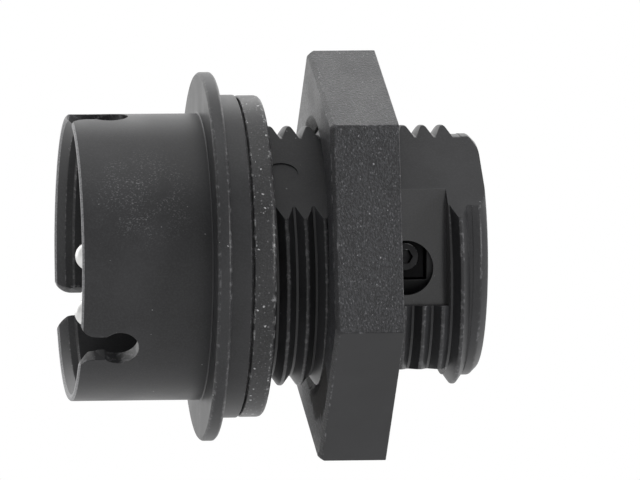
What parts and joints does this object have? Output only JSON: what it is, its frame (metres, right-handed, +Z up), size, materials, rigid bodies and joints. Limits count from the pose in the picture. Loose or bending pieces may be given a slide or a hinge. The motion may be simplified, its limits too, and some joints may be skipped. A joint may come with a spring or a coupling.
{
  "type": "circular power connector",
  "caption": "Black panel-mount circular power connector: keyhole coupling collar, flange with gasket, threaded barrel, hex lock nut, contact pins and rising-cage wire clamps.",
  "frame": {"origin": "centre of the panel seat, the rear face of the gasket, on the connector's centre line", "axes": "+X along the connector towards the wires, the mating end faces -X; +Z up, with the earth terminal below"},
  "size_m": [0.0314, 0.0296, 0.0314],
  "materials": {
    "black_moulding": "fine moulded texture",
    "black_rubber": "matte",
    "nut_moulding": "fine moulded texture",
    "insulator": "smooth moulded",
    "seal_rubber": "matte",
    "spring_steel": "bright",
    "plated_contact": "bright plated",
    "clamp_steel": "blackened",
    "screw_steel": "blackened"
  },
  "bodies": {
    "connector": {"housing": "black_moulding", "flange_gasket": "black_rubber", "contact_carrier": "insulator", "terminal_block": "insulator", "line_contact": "plated_contact", "neutral_contact": "plated_contact", "earth_contact": "plated_contact", "carrier_seal": "seal_rubber", "retaining_ring": "spring_steel"},
    "nut": {"lock_nut": "nut_moulding"},
    "line_screw": {"line_screw": "screw_steel"},
    "line_cage": {"line_cage": "clamp_steel"},
    "earth_screw": {"earth_screw": "screw_steel"},
    "earth_cage": {"earth_cage": "clamp_steel"},
    "neutral_screw": {"neutral_screw": "screw_steel"},
    "neutral_cage": {"neutral_cage": "clamp_steel"}
  },
  "joints": [
    {"name": "nut_turn", "type": "hinge", "parent": "connector", "child": "nut", "pos_m": [0.0067, 0, 0], "axis": [1, 0, 0], "continuous": true},
    {"name": "line_screw_turn", "type": "hinge", "parent": "connector", "child": "line_screw", "pos_m": [0.0104, -0.007, 0], "axis": [0, 1, 0], "range_deg": [0, 566]},
    {"name": "line_cage_lift", "type": "slide", "parent": "connector", "child": "line_cage", "axis": [0, -1, 0], "range_m": [0, 0.00055]},
    {"name": "earth_screw_turn", "type": "hinge", "parent": "connector", "child": "earth_screw", "pos_m": [0.0104, 0, -0.007], "axis": [0, 0, 1], "range_deg": [0, 566]},
    {"name": "earth_cage_lift", "type": "slide", "parent": "connector", "child": "earth_cage", "axis": [0, 0, -1], "range_m": [0, 0.00055]},
    {"name": "neutral_screw_turn", "type": "hinge", "parent": "connector", "child": "neutral_screw", "pos_m": [0.0104, 0.007, 0], "axis": [0, -1, 0], "range_deg": [0, 566]},
    {"name": "neutral_cage_lift", "type": "slide", "parent": "connector", "child": "neutral_cage", "axis": [0, 1, 0], "range_m": [0, 0.00055]}
  ],
  "couplings": [
    {"joint": "line_screw_turn", "follows": "line_cage_lift", "rad_per_m": 17952},
    {"joint": "earth_screw_turn", "follows": "earth_cage_lift", "rad_per_m": 17952},
    {"joint": "neutral_screw_turn", "follows": "neutral_cage_lift", "rad_per_m": 17952}
  ]
}
